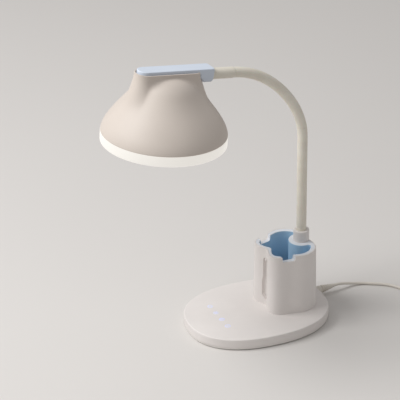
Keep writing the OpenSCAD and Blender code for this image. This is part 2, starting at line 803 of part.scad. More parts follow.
base_cover();
base_bottom();
base_pad();
ballast_plate();
base_screws();
control_board();
board_screws();
key_leds();
key_light_guides();
touch_springs();
dc_jack();
base_lead();
organizer_shell();
organizer_liner();
organizer_screws();
pole_tube();
pole_screws();
pole_collar();
pole_sleeve();
neck_link_1();
neck_link_2();
neck_link_3();
neck_link_4();
neck_link_5();
neck_link_6();
neck_ferrule();
head_spine();
spine_screws();
shade();
led_plate();
led_chips();
head_screws();
head_lead();
diffuser();
dc_plug();
plug_relief();
cord_run();
cord_coil();
cord_tail();
cord_tie();
usb_grip();
usb_shell();
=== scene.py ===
from math import atan2, ceil, copysign, cos, degrees, hypot, pi, radians, sin, sqrt, tan

import bmesh
import bpy
from mathutils import Matrix, Vector


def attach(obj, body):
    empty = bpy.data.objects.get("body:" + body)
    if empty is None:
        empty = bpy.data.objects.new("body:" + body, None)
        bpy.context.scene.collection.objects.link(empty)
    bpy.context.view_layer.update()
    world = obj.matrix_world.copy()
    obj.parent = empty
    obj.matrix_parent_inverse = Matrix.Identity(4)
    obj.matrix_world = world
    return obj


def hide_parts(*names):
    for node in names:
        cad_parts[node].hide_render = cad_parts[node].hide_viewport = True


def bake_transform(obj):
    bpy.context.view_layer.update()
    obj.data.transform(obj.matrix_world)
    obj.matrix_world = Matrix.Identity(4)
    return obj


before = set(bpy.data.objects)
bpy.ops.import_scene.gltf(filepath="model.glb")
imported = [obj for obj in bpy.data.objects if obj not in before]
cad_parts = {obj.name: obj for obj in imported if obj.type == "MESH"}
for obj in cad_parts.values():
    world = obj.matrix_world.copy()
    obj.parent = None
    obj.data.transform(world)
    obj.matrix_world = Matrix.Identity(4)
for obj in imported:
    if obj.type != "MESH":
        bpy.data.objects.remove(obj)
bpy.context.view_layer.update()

# ---------------------------------------------------------------- camera
# The photograph looks down on the lamp from its right front side, through a long lens.

camera_right = Vector((0.48073, 0.87673, -0.01549))
camera_up = Vector((-0.40705, 0.23877, 0.88165))
camera_back = Vector((0.77667, -0.41753, 0.47166))
camera_place = (1.52761, -0.8909, 1.10268)
camera_angle = 12.774


def add_object(name, data):
    """A new object in the scene."""
    thing = bpy.data.objects.new(name, data)
    bpy.context.scene.collection.objects.link(thing)
    return thing


camera = add_object("camera", bpy.data.cameras.new("camera"))
camera.data.sensor_fit = "HORIZONTAL"
camera.data.sensor_width = 36
camera.data.angle = radians(camera_angle)
camera.data.clip_end = 30
camera.matrix_world = Matrix.Translation(camera_place) @ Matrix(
    (camera_right, camera_up, camera_back)).transposed().to_4x4()
bpy.context.scene.camera = camera

# ---------------------------------------------------------------- power cord
# A thin round low-voltage cord in off-white PVC. It leaves the moulded plug behind the base, drops to the
# desk and runs off to the right; past the edge of the picture its spare length is a tied coil.

MM = 0.001
crease = 35


def make_piece(name, points, faces, sharp=crease):
    """A mesh with its points given in millimetres; edges that turn more than sharp degrees stay crisp."""
    mesh = bpy.data.meshes.new(name)
    mesh.from_pydata([tuple(MM * c for c in p) for p in points], [], faces)
    mesh.validate()
    mesh.shade_smooth()
    mesh.set_sharp_from_angle(angle=radians(sharp))
    return add_object(name, mesh)


def loft(rings):
    """Points and faces of a closed skin over rings that all run the same way round."""
    count = len(rings[0])
    points = [tuple(p) for ring in rings for p in ring]
    faces = []
    for i in range(len(rings) - 1):
        for j in range(count):
            k = (j + 1) % count
            faces.append((i * count + j, i * count + k, (i + 1) * count + k, (i + 1) * count + j))
    last = (len(rings) - 1) * count
    faces.append(tuple(reversed(range(count))))
    faces.append(tuple(range(last, last + count)))
    return points, faces


def face_outwards(piece):
    """Merges doubled points and turns every face outwards."""
    work = bmesh.new()
    work.from_mesh(piece.data)
    bmesh.ops.remove_doubles(work, verts=work.verts, dist=1e-7)
    bmesh.ops.recalc_face_normals(work, faces=work.faces)
    work.to_mesh(piece.data)
    work.free()
    return piece


def skin(name, rings, sharp=crease):
    """A closed piece over rings that all run the same way round."""
    return face_outwards(make_piece(name, *loft(rings), sharp=sharp))


def rounded_route(points, steps):
    """The same route with steps smooth points between each two of its own."""
    points = [Vector(p) for p in points]
    ends = [2 * points[0] - points[1]] + points + [2 * points[-1] - points[-2]]
    route = []
    for i in range(1, len(ends) - 2):
        a, b, c, d = ends[i - 1:i + 3]
        for s in range(steps):
            t = s / steps
            route.append(0.5 * (2 * b + (c - a) * t + (2 * a - 5 * b + 4 * c - d) * t ** 2
                                + (3 * b - a - 3 * c + d) * t ** 3))
    return route + [points[-1]]


def smooth(x):
    """Eases from 0 to 1 as x goes from 0 to 1."""
    x = min(1, max(0, x))
    return x * x * (3 - 2 * x)


cord_d = 3.5
cord_start = [(-6, 113, 8), (-6, 117, 8), (-6, 124, 6.9), (-5.8, 131, 5.3), (-5, 138, 3.7),
              (-3.3, 145, 2.5), (-0.5, 152, 1.9), (4, 158.3, 1.8), (9, 165.5, 1.8),
              (15, 172.5, 1.8), (22.5, 178.7, 1.8), (30.5, 183, 1.8), (38.5, 186.6, 2), (46, 190, 2.4)]
cord_end = [(70, 203.6, 6.2), (74.6, 206.3, 5.5), (78.5, 209.1, 4.9), (81.4, 212.4, 4.3),
            (83.2, 216, 4), (84, 219, 4)]
coil_mid = (45, 222)
coil_r = 28.5
coil_step = 4.1
coil_rise = 4.1
coil_low = 2.5
coil_turns = 8
coil_steps = 48
coil_start = -60


def coil_point(turn):
    """The coil winds in and out again, and climbs a layer in the half turn where it reverses."""
    r = coil_r - coil_step * (coil_turns / 2 - abs(turn - coil_turns / 2))
    z = coil_low + coil_rise * smooth(2 * (turn - coil_turns / 2) + 0.5)
    a = radians(coil_start + 360 * turn)
    return Vector((coil_mid[0] + r * cos(a), coil_mid[1] + r * sin(a), z))


coil_heading = Vector((cos(radians(coil_start + 90)), sin(radians(coil_start + 90)), 0))
coil_in = coil_point(0) - cord_d * coil_heading
coil_out = coil_point(coil_turns) + cord_d * coil_heading
cord_start += [coil_in - 1.5 * cord_d * coil_heading, coil_in]
cord_end = [coil_out, coil_out + cord_d * coil_heading] + cord_end
cord_route = (rounded_route(cord_start, 4)
              + [coil_point(i / coil_steps) for i in range(coil_steps * coil_turns + 1)]
              + rounded_route(cord_end, 4))


def linear(code):
    """An sRGB hex colour as linear values."""
    parts = [int(code[i:i + 2], 16) / 255 for i in (1, 3, 5)]
    return [c / 12.92 if c <= 0.04045 else ((c + 0.055) / 1.055) ** 2.4 for c in parts] + [1]


def add_node(owner, kind, settings=None, inputs=None):
    """Adds a node to a material or a node tree. An input is a value, or the socket that it is linked to."""
    tree = getattr(owner, "node_tree", owner)
    node = tree.nodes.new(kind)
    for name, value in (settings or {}).items():
        setattr(node, name, value)
    for name, value in (inputs or {}).items():
        if isinstance(value, bpy.types.NodeSocket):
            tree.links.new(value, node.inputs[name])
        else:
            node.inputs[name].default_value = value
    return node


def new_material(name):
    """A material with no nodes yet, and the place on the piece that its patterns follow."""
    material = bpy.data.materials.new(name)
    material.use_nodes = True
    material.node_tree.nodes.clear()
    return material, add_node(material, "ShaderNodeTexCoord").outputs["Object"]


def with_surface(material, inputs):
    """Gives a material its surface."""
    surface = add_node(material, "ShaderNodeBsdfPrincipled", inputs=inputs)
    add_node(material, "ShaderNodeOutputMaterial", inputs={"Surface": surface.outputs["BSDF"]})
    return material


def moulded_plastic(name, pale, deep, roughness=0.5, grain=0.4, depth=0.012, cloud=45, shader=None):
    """Plastic from a spark-eroded mould: an even grain, and a colour that hardly changes over centimetres.
    The real grain is about 0.1 mm; it is drawn at 0.4 mm so that a close view shows it."""
    material, place = new_material(name)
    clouds = add_node(material, "ShaderNodeTexNoise", inputs={
        "Vector": place, "Scale": 1 / (cloud * MM), "Detail": 3})
    tint = add_node(material, "ShaderNodeValToRGB", inputs={"Fac": clouds.outputs["Fac"]})
    tint.color_ramp.elements[0].position = 0.3
    tint.color_ramp.elements[1].position = 0.7
    tint.color_ramp.elements[0].color = linear(deep)
    tint.color_ramp.elements[1].color = linear(pale)
    shine = add_node(material, "ShaderNodeMapRange", inputs={
        "Value": clouds.outputs["Fac"], "To Min": roughness - 0.04, "To Max": roughness + 0.04})
    grains = add_node(material, "ShaderNodeTexNoise", inputs={
        "Vector": place, "Scale": 1 / (grain * MM), "Detail": 2})
    bump = add_node(material, "ShaderNodeBump", inputs={
        "Height": grains.outputs["Fac"], "Strength": 0.35, "Distance": depth * MM})
    return with_surface(material, {
        "Base Color": tint.outputs["Color"], "Roughness": shine.outputs["Result"],
        "Normal": bump.outputs["Normal"], "IOR": 1.5, **(shader or {})})


def dress(piece, material):
    """Gives a piece, or a CAD node by name, one material."""
    if isinstance(piece, str):
        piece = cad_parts[piece]
    piece.data.materials.clear()
    piece.data.materials.append(material)
    return piece


def plain_mesh(piece):
    """The mesh that a piece and its modifiers make."""
    bpy.context.view_layer.update()
    return bpy.data.meshes.new_from_object(piece.evaluated_get(bpy.context.evaluated_depsgraph_get()))


def grown(name, start, build, values, material):
    """Runs a Geometry Nodes tree over a starting object and keeps the result as one plain mesh.
    build adds the tree's nodes and returns its finished shape; values are the tree's named inputs."""
    tree = bpy.data.node_groups.new(name, "GeometryNodeTree")
    tree.interface.new_socket("Geometry", in_out="INPUT", socket_type="NodeSocketGeometry")
    tree.interface.new_socket("Geometry", in_out="OUTPUT", socket_type="NodeSocketGeometry")
    values = {**values, "Material": material}
    sockets = {}
    for label, value in values.items():
        kind = ("Int" if isinstance(value, int) else "Float" if isinstance(value, float) else
                "Vector" if isinstance(value, tuple) else
                "Material" if isinstance(value, bpy.types.Material) else "Object")
        sockets[label] = tree.interface.new_socket(label, in_out="INPUT", socket_type="NodeSocket" + kind)
    given = add_node(tree, "NodeGroupInput").outputs
    shape = build(tree, given)
    whole = add_node(tree, "GeometryNodeRealizeInstances", inputs={"Geometry": shape})
    dressed = add_node(tree, "GeometryNodeSetMaterial", inputs={
        "Geometry": whole.outputs["Geometry"], "Material": given["Material"]})
    add_node(tree, "NodeGroupOutput", inputs={"Geometry": dressed.outputs["Geometry"]})
    step = start.modifiers.new("grow", "NODES")
    step.node_group = tree
    for label, socket in sockets.items():
        step[socket.identifier] = values[label]
    made = plain_mesh(start)
    bpy.data.objects.remove(start)
    made.shade_smooth()
    made.set_sharp_from_angle(angle=radians(crease))
    return face_outwards(add_object(name, made))


def round_tube(tree, given):
    """Sweeps a circle along the starting line and closes both ends."""
    line = add_node(tree, "GeometryNodeMeshToCurve", inputs={"Mesh": given["Geometry"]})
    circle = add_node(tree, "GeometryNodeCurvePrimitiveCircle", inputs={
        "Resolution": given["Sides"], "Radius": given["Radius"]})
    swept = add_node(tree, "GeometryNodeCurveToMesh", inputs={
        "Curve": line.outputs["Curve"], "Profile Curve": circle.outputs["Curve"], "Fill Caps": True})
    return swept.outputs["Mesh"]


# Off-white PVC: satin, a little softer in its shine than the housings
cord_pvc = moulded_plastic("satin_pvc_extruded", "#e2ddd5", "#dbd5cb", roughness=0.42, grain=0.8, depth=0.01)
cord_line = make_piece("cord_line", cord_route, [])
cord_line.data.edges.add(len(cord_route) - 1)
for i, edge in enumerate(cord_line.data.edges):
    edge.vertices = (i, i + 1)
cord = grown("cord", cord_line, round_tube, {"Radius": cord_d / 2 * MM, "Sides": 14}, cord_pvc)
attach(cord, "base")
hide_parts("cord_run", "cord_coil", "cord_tail")

# ---------------------------------------------------------------- plug and strain relief
# The round plug is moulded on the cord in the same PVC, with grip ribs and a tapered strain relief
# that is cut into rings so that it bends with the cord.


def round_steps(steps):
    """The angles of even steps once round a circle."""
    return [2 * pi * i / steps for i in range(steps)]


def lathe(name, profile, origin, axis, steps=64):
    """A turned shape: profile is (distance along the axis, radius), from one end to the other."""
    axis = Vector(axis).normalized()
    side = axis.cross(Vector((0, 0, 1)) if abs(axis.z) < 0.9 else Vector((1, 0, 0))).normalized()
    other = axis.cross(side)
    return skin(name, [[Vector(origin) + along * axis + r * (cos(a) * side + sin(a) * other)
                        for a in round_steps(steps)] for along, r in profile])


def repeat(tree, given):
    """Copies the unit along a line; each copy is scaled a little further than the one before."""
    points = add_node(tree, "GeometryNodeMeshLine", inputs={
        "Count": given["Count"], "Start Location": given["Start"], "Offset": given["Offset"]})
    number = add_node(tree, "GeometryNodeInputIndex").outputs["Index"]
    size = add_node(tree, "ShaderNodeMath", {"operation": "MULTIPLY_ADD"}, {
        0: number, 1: given["Growth"], 2: 1})
    unit = add_node(tree, "GeometryNodeObjectInfo", inputs={"Object": given["Unit"]})
    copies = add_node(tree, "GeometryNodeInstanceOnPoints", inputs={
        "Points": points.outputs["Mesh"], "Instance": unit.outputs["Geometry"],
        "Scale": size.outputs["Value"]})
    return copies.outputs["Instances"]


def repeated(name, unit, count, start, offset, material, growth=0.0):
    """count copies of a unit made round the origin, the first at start, in millimetres."""
    base = make_piece("repeat_base", [(0, 0, 0)], [])
    made = grown(name, base, repeat, {
        "Unit": unit, "Count": count, "Start": tuple(MM * c for c in start),
        "Offset": tuple(MM * c for c in offset), "Growth": growth}, material)
    bpy.data.objects.remove(unit)
    return made


plug_x, plug_y, plug_z = -6, 85, 8
plug_at = (plug_x, plug_y, plug_z)
backwards = (0, 1, 0)
unit_at = (0, 0, 0)
grip_profile = [(-9, 2.7), (0.2, 2.7), (0.3, 4.2), (0.6, 4.5), (1, 4.6), (8.2, 4.6), (8.7, 4.45), (9, 4.1)]
plug_grip = dress(lathe("plug_grip", grip_profile, plug_at, backwards), cord_pvc)
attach(plug_grip, "base")
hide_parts("dc_plug")

rib_profile = [(0, 4.5), (0.15, 4.72), (0.4, 4.8), (0.75, 4.8), (1, 4.72), (1.15, 4.5)]
grip_rib = lathe("grip_rib", rib_profile, unit_at, backwards)
grip_ribs = repeated("plug_grip_ribs", grip_rib, 4, (plug_x, plug_y + 1.5, plug_z), (0, 1.65, 0), cord_pvc)
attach(grip_ribs, "base")

relief_profile = [(9, 3.9), (9.6, 3.7), (27.4, 2.15), (28, 2), (28.2, 1.76)]
relief_core = dress(lathe("strain_relief_core", relief_profile, plug_at, backwards), cord_pvc)
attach(relief_core, "base")
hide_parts("plug_relief")

ring_profile = [(0, 3.4), (0.02, 4.4), (0.2, 4.62), (0.5, 4.68), (1.1, 4.6), (1.35, 4.4), (1.4, 3.4)]
relief_ring = lathe("relief_ring", ring_profile, unit_at, backwards)
relief_rings = repeated("strain_relief_rings", relief_ring, 6, (plug_x, plug_y + 9.9, plug_z), (0, 3, 0),
                        cord_pvc, growth=-0.09)
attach(relief_rings, "base")

# ---------------------------------------------------------------- tie and USB connector
# A soft flat strap goes once round the coil. The cord ends in a type A connector: a folded plated shell
# with two square windows above and two below, drawn as painted shade, and a white contact tongue, in a
# moulded PVC grip.


def arc_points(x, y, r, start, end, steps=6):
    """Points on an arc round (x, y), from one angle to the other in degrees."""
    turns = [radians(start + (end - start) * s / steps) for s in range(steps + 1)]
    return [(x + r * cos(a), y + r * sin(a)) for a in turns]


def rounded_rectangle(half_w, half_h, corner, steps=5):
    """Points of a rounded rectangle round its middle."""
    points = []
    for quarter in range(4):
        cx = (half_w - corner) * (1 if quarter in (0, 3) else -1)
        cy = (half_h - corner) * (1 if quarter in (0, 1) else -1)
        points += arc_points(cx, cy, corner, 90 * quarter, 90 * quarter + 90, steps)
    return points


tie_inner = coil_r - coil_step * coil_turns / 2 - cord_d / 2 - 1
tie_outer = coil_r + cord_d / 2 + 0.5
tie_low = coil_low - cord_d / 2 - 0.1
tie_top = coil_low + coil_rise + cord_d / 2 + 0.1
tie_heading = radians(100)
tie_turn = Matrix.Translation((*coil_mid, 0)) @ Matrix.Rotation(tie_heading, 4, "Z")
tie_rings = []
for grow, width in ((0.02, 3.6), (0.02, 3.9), (0.25, 4), (0.5, 3.9), (0.58, 3.6),
                    (0.58, -3.6), (0.5, -3.9), (0.25, -4), (0.02, -3.9), (0.02, -3.6)):
    loop = rounded_rectangle((tie_outer - tie_inner) / 2 + grow, (tie_top - tie_low) / 2 + grow, 2 + grow)
    tie_rings.append([tie_turn @ Vector((x + (tie_outer + tie_inner) / 2, width, z + (tie_top + tie_low) / 2))
                      for x, z in loop])
tie_points, tie_faces = loft(tie_rings + [tie_rings[0]])
cord_tie = face_outwards(make_piece("cord_tie_strap", tie_points, tie_faces[:-2]))
strap_pvc = moulded_plastic("soft_strap_pvc", "#cfcbc4", "#c6c2bb", roughness=0.6, grain=0.7, depth=0.03)
dress(cord_tie, strap_pvc)
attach(cord_tie, "base")
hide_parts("cord_tie")

usb_heading = radians(75)
usb_frame = Matrix.Translation(cord_end[-1]) @ Matrix.Rotation(usb_heading, 4, "Z")


def along_usb(sections):
    """Rings across the connector: each section is its place along it, half width, half height and corner."""
    return [[usb_frame @ Vector((x, y, z)) for y, z in rounded_rectangle(w, h, corner)]
            for x, w, h, corner in sections]


usb_grip = skin("usb_grip_mould", along_usb([
    (0, 1.9, 1.9, 1.85), (1.5, 2.3, 2.3, 2.2), (3, 2.45, 2.4, 2.3), (5.2, 3.2, 3, 2.8), (6.6, 4.9, 3.5, 3),
    (8, 6, 3.75, 2.4), (9.6, 6.4, 3.85, 1.8), (12, 6.5, 3.88, 1.6), (20.4, 6.5, 3.88, 1.6),
    (21.4, 6.4, 3.8, 1.5), (21.9, 6.1, 3.5, 1.2), (22, 5.7, 3.1, 1)]))
dress(usb_grip, cord_pvc)
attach(usb_grip, "base")
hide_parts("usb_grip")

usb_shell = skin("usb_plated_shell", along_usb([
    (21, 6, 2.25, 0.5), (35.7, 6, 2.25, 0.5), (36, 5.9, 2.15, 0.5), (36, 5.65, 1.9, 0.3),
    (25, 5.65, 1.9, 0.3)]))


def drawn_metal(name, colour, roughness):
    """Metal sheet or wire, with fine streaks along the way it was drawn, 0.3 mm apart."""
    material, place = new_material(name)
    drawn = add_node(material, "ShaderNodeMapping", inputs={"Vector": place, "Scale": (1, 1, 0.1)})
    streaks = add_node(material, "ShaderNodeTexNoise", inputs={
        "Vector": drawn.outputs["Vector"], "Scale": 1 / (0.3 * MM), "Detail": 3})
    shine = add_node(material, "ShaderNodeMapRange", inputs={
        "Value": streaks.outputs["Fac"], "To Min": roughness - 0.08, "To Max": roughness + 0.1})
    return with_surface(material, {
        "Base Color": linear(colour), "Metallic": 1, "Roughness": shine.outputs["Result"]})


nickel = drawn_metal("nickel_plated_steel", "#b9bcc0", 0.28)
dress(usb_shell, nickel)
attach(usb_shell, "base")
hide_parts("usb_shell")

tongue_section = ((-5.5, -1.8), (5.5, -1.8), (5.5, -0.2), (-5.5, -0.2))
usb_tongue = skin("usb_contact_tongue", [[usb_frame @ Vector((x, y, z)) for y, z in tongue_section]
                                         for x in (25.2, 35.2)])
dress(usb_tongue, moulded_plastic("white_nylon_tongue", "#ece9e2", "#e5e1d9", roughness=0.45))
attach(usb_tongue, "base")


def joined(shapes):
    """Several shapes, each its points and faces, as one."""
    points = []
    faces = []
    for more_points, more_faces in shapes:
        faces += [[len(points) + n for n in face] for face in more_faces]
        points += more_points
    return points, faces


# The shell is not cut open: a thin dark sheet on it at each window is painted shade for the dark inside
window_at = 29
window_beside = 2.6
window_half_l = 1.2
window_half_w = 1.1
square = ((-1, -1), (1, -1), (1, 1), (-1, 1))
window_shapes = [loft([[usb_frame @ Vector((window_at + window_half_l * x, window_beside * side
                                            + window_half_w * y, z * top)) for x, y in square]
                       for z in (2.26, 2.2)]) for side in (-1, 1) for top in (-1, 1)]
usb_window_shade = face_outwards(make_piece("usb_shell_windows", *joined(window_shapes)))
dress(usb_window_shade, moulded_plastic("dark_window_shadow", "#222326", "#1b1c1f", roughness=0.7))
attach(usb_window_shade, "base")

# ---------------------------------------------------------------- base
# The base is a moulded ABS cover over a narrower bottom cover. A steel plate inside gives it its weight,
# and a thin dark foam pad is glued under it.

base_half_w = 63.3
base_half_l = 84.8
base_mid = Vector((0.9, 1.5, 0))
base_turn = Matrix.Rotation(radians(-8.2), 3, "Z")
base_power = 2 / 2.3
base_h = 14
base_seam = 2.8
base_points = 192


def base_outline(inset, z):
    """An oval a little squarer than an ellipse, turned a little against the cup."""
    ring = []
    for a in round_steps(base_points):
        x = (base_half_w - inset) * copysign(abs(cos(a)) ** base_power, cos(a))
        y = (base_half_l - inset) * copysign(abs(sin(a)) ** base_power, sin(a))
        ring.append(base_mid + base_turn @ Vector((x, y, 0)) + Vector((0, 0, z)))
    return ring


def rounded_edge(r, top, angles):
    """How far in and how high a rounded edge of radius r is, at each of the angles up it."""
    return [(r * (1 - cos(radians(a))), top - r * (1 - sin(radians(a)))) for a in angles]


def cut(piece, *cutters):
    """Cuts solids out of a piece and leaves a plain mesh."""
    for cutter in cutters:
        face_outwards(cutter)
        step = piece.modifiers.new("cut", "BOOLEAN")
        step.operation = "DIFFERENCE"
        step.solver = "EXACT"
        step.object = cutter
    made = plain_mesh(piece)
    piece.modifiers.clear()
    piece.data = made
    for cutter in cutters:
        bpy.data.objects.remove(cutter)
    return piece


edge_r = 1.1
cover_levels = [(inset, base_seam + up) for inset, up in ((6, 0.05), (0.5, 0.05), (0.15, 0.2), (0, 0.55))]
cover_levels += [(0, z) for z in (5, 8, 11, base_h - edge_r - 0.6)]
cover_levels += rounded_edge(edge_r, base_h, range(0, 91, 10))
cover_levels += [(inset, base_h) for inset in (1.5, 3, 8, 20)]
base_cover = skin("base_top_cover", [base_outline(*level) for level in cover_levels])
cut(base_cover, lathe("cutter", [(-4, 3.2), (0, 3.2), (0, 5.3), (12, 5.3)], plug_at, backwards))
base_cover.data.set_sharp_from_angle(angle=radians(40))

# ABS with a fine matte grain: the shine is broad and soft, and a white that leans a little to warm
white_abs = moulded_plastic("abs_moulded_warm_white", "#e6e1de", "#e1dcd9", roughness=0.52)
dress(base_cover, white_abs)
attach(base_cover, "base")
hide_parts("base_cover")

bottom_levels = [(9.06, 1.2), (9.06, 0.6), (9.3, 0.6), (3, 0.6), (1.6, 0.7), (0.9, 1), (0.5, 1.5), (0.4, 2.1),
                 (0.45, base_seam), (6, base_seam)]
base_bottom = skin("base_bottom_cover", [base_outline(*level) for level in bottom_levels])
bottom_abs = moulded_plastic("abs_moulded_bottom", "#ebe8e4", "#e6e3de", roughness=0.5)
dress(base_bottom, bottom_abs)
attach(base_bottom, "base")
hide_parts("base_bottom")


def foam_rubber(name, pale, deep, cell):
    """Closed-cell foam: dark, dull, with open skin cells."""
    material, place = new_material(name)
    cells = add_node(material, "ShaderNodeTexVoronoi", inputs={"Vector": place, "Scale": 1 / (cell * MM)})
    tint = add_node(material, "ShaderNodeValToRGB", inputs={"Fac": cells.outputs["Distance"]})
    tint.color_ramp.elements[0].color = linear(deep)
    tint.color_ramp.elements[1].color = linear(pale)
    bump = add_node(material, "ShaderNodeBump", inputs={
        "Height": cells.outputs["Distance"], "Strength": 0.5, "Distance": 0.15 * MM})
    return with_surface(material, {
        "Base Color": tint.outputs["Color"], "Roughness": 0.9, "Normal": bump.outputs["Normal"]})


# EVA foam; its real cells are about 0.3 mm, drawn at 0.9 mm so that they show
dress("base_pad", foam_rubber("eva_foam_pad", "#47494d", "#2d2f32", 0.9))

# ---------------------------------------------------------------- touch keys
# Four touch keys lie in a row under the front of the cover: each is a light guide flush with the cover,
# and a small LED behind a printed mask lights its sign: on and off, brightness, colour and timer.

key_mid = Vector((-5.6, -44.6, 0))
key_pitch = 15.8
key_along = Vector((cos(radians(-4)), sin(radians(-4)), 0))
key_across = Vector((-key_along.y, key_along.x, 0))
key_r = 3.6
sign_z = base_h + 0.04

disc_profile = [(11, key_r), (base_h - 0.03, key_r), (base_h + 0.015, key_r - 0.04),
                (base_h + 0.03, key_r - 0.1)]
upwards = (0, 0, 1)
light_disc = lathe("light_disc", disc_profile, unit_at, upwards, steps=48)
guide_acrylic = moulded_plastic("acrylic_frosted_light_guide", "#e6e4e6", "#e1e0e4", roughness=0.45)
key_guides = repeated("key_light_discs", light_disc, 4, key_mid - 1.5 * key_pitch * key_along,
                      key_pitch * key_along, guide_acrylic)
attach(key_guides, "base")
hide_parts("key_light_guides")


def sign_strokes(key):
    """The strokes of one key's sign: each stroke is a line of points round the sign's middle."""
    def arc(r, start, end):
        return arc_points(0, 0, r, start, end, 28)
    if key == 0:
        return [arc(2.7, 125, 415), [(0, 0.7), (0, 3.3)]]
    if key == 1:
        return [arc(1.3, 0, 360)] + [[(2.2 * cos(a), 2.2 * sin(a)), (3.3 * cos(a), 3.3 * sin(a))]
                                     for a in (radians(45 * n) for n in range(8))]
    if key == 2:
        return [arc(2.9, 0, 360), arc(1.6, 90, 270), [(0, -1.8), (0, 1.8)]]
    return [arc(2.9, 0, 360), [(0, 1.8), (0, 0), (1.5, -0.9)]]


stroke_half = 0.3
stroke_section = ((1, -0.02), (-1, -0.02), (-0.8, 0.02), (0.8, 0.02))


def stroke_bar(middle, stroke):
    """A flat bar along one stroke of a sign."""
    line = [middle + x * key_along + y * key_across for x, y in stroke]
    rings = []
    for i, p in enumerate(line):
        ahead = (line[min(i + 1, len(line) - 1)] - line[max(i - 1, 0)]).normalized()
        beside = Vector((-ahead.y, ahead.x, 0)) * stroke_half
        rings.append([(*(p + across * beside).xy, sign_z + z) for across, z in stroke_section])
    return loft(rings)


key_signs = face_outwards(make_piece("key_signs", *joined(
    stroke_bar(key_mid + (key - 1.5) * key_pitch * key_along, stroke)
    for key in range(4) for stroke in sign_strokes(key))))


def backlit_film(name, colour, glow, strength):
    """Printed film with an LED behind it: a pale tint that gives off a little light."""
    return moulded_plastic(name, colour, colour, roughness=0.4, grain=0.6, shader={
        "Emission Color": linear(glow), "Emission Strength": strength})


dress(key_signs, backlit_film("backlit_key_film", "#c6caec", "#bcc3ff", 0.35))
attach(key_signs, "base")

# ---------------------------------------------------------------- inside the base
# Out of sight: the ballast plate, the control board with its LEDs, springs and screws, the socket and
# its two-core lead. They keep their CAD shapes and get their real finishes, and so do the screws, the
# chips and the lead that are hidden in the cup, the pole and the head.

dress("ballast_plate", drawn_metal("hot_rolled_steel_plate", "#6d7075", 0.5))
zinc = drawn_metal("zinc_plated_screw_steel", "#a9abad", 0.35)
for place in ("base", "board", "organizer", "pole", "spine", "head"):
    dress(place + "_screws", zinc)
dress("control_board", moulded_plastic("glass_fibre_solder_mask", "#1f5a3c", "#174a31", 0.35, cloud=6))
phosphor = backlit_film("led_phosphor", "#f2e2a0", "#fff2c8", 0.6)
dress("key_leds", phosphor)
dress("led_chips", phosphor)
dress("touch_springs", drawn_metal("phosphor_bronze_spring", "#b98f4e", 0.32))
dress("dc_jack", moulded_plastic("nylon_black", "#26272a", "#1d1e20", roughness=0.48))
lead_insulation = moulded_plastic("lead_insulation_black", "#2b2b2f", "#222226", roughness=0.5)
dress("base_lead", lead_insulation)
dress("head_lead", lead_insulation)

# ---------------------------------------------------------------- organizer cup
# A lobed cup stands on the base round the pole: a white ABS shell, drawn in a little to its rim, with a
# tall recess down its front and a notch on either side in which a phone stands.

cup_mid = 40.5
cup_waves = (33.1, 1.2, -2.3, -0.6, -2.8, 1.3, -0.9)
cup_foot = 14
cup_top = 88.4
cup_draft = 1.2
shell_wall = 1.6
rim_w = 6.2
pole_y = 62
notch_y = 28
notch_w = 14.9
notch_h = 6.5
collar_r = 9.2


def cup_outline(inset, z, steps=240):
    """The cup's lobed outline: a mean radius and six waves round it."""
    ring = []
    for a in round_steps(steps):
        r = sum(size * cos(n * a) for n, size in enumerate(cup_waves)) - inset
        ring.append((-r * sin(a), cup_mid + r * cos(a), z))
    return ring


def cup_body(levels):
    """A solid cup that widens to its foot by the draft. A level is how far it is drawn in, and its height."""
    rings = [cup_outline(inset - cup_draft * (cup_top - z) / (cup_top - cup_foot), z) for inset, z in levels]
    return skin("cup_body", rings)


def soften(piece, width, segments=3, angle=35):
    """Rounds a moulded piece's edges."""
    piece.data.shade_smooth()
    bevel = piece.modifiers.new("edges", "BEVEL")
    bevel.width = width * MM
    bevel.segments = segments
    bevel.limit_method = "ANGLE"
    bevel.angle_limit = radians(angle)
    bevel.miter_outer = "MITER_ARC"
    weigh = piece.modifiers.new("normals", "WEIGHTED_NORMAL")
    weigh.keep_sharp = True
    made = plain_mesh(piece)
    piece.modifiers.clear()
    piece.data = made
    return piece


def smooth_walls(piece):
    """Gives the upright faces that follow the cup's outline that outline's own exact normals."""
    mesh = piece.data
    same_way = 0.985  # the cosine of about 10 degrees
    normals = [Vector(corner.vector) for corner in mesh.corner_normals]
    for face in mesh.polygons:
        for loop in face.loop_indices:
            place = mesh.vertices[mesh.loops[loop].vertex_index].co / MM
            a = atan2(-place.x, place.y - cup_mid)
            slope = -sum(n * size * sin(n * a) for n, size in enumerate(cup_waves))
            r = hypot(place.x, place.y - cup_mid)
            out = Vector((-r * sin(a) + slope * cos(a), r * cos(a) + slope * sin(a), 0)).normalized()
            along = face.normal.dot(out)
            if abs(along) > same_way:
                normals[loop] = out if along > 0 else -out
    mesh.normals_split_custom_set(normals)
    return piece


def solid(outline, low, high):
    """A prism for cutting, over an outline."""
    return skin("cutter", [[(p[0], p[1], z) for p in outline] for z in (low, high)])


def pole_cutter(steps=96):
    """A round bar that leaves room for the collar."""
    r = collar_r + 0.2
    return solid([(r * cos(a), pole_y + r * sin(a)) for a in round_steps(steps)], 13, 90)


def notch_cutters():
    """Two boxes with rounded lower corners, one for each phone notch."""
    floor = cup_top - notch_h
    half = notch_w / 2
    profile = [(half + 0.5, cup_top + 3), (-half, cup_top + 3), (-half, floor + 2),
               *arc_points(-half + 1.6, floor + 1.6, 1.6, 180, 270),
               *arc_points(half - 2.4, floor + 2, 2, 270, 350)]
    return [skin("cutter", [[(side * x, notch_y + y, z) for y, z in profile] for x in (15, 45)])
            for side in (-1, 1)]


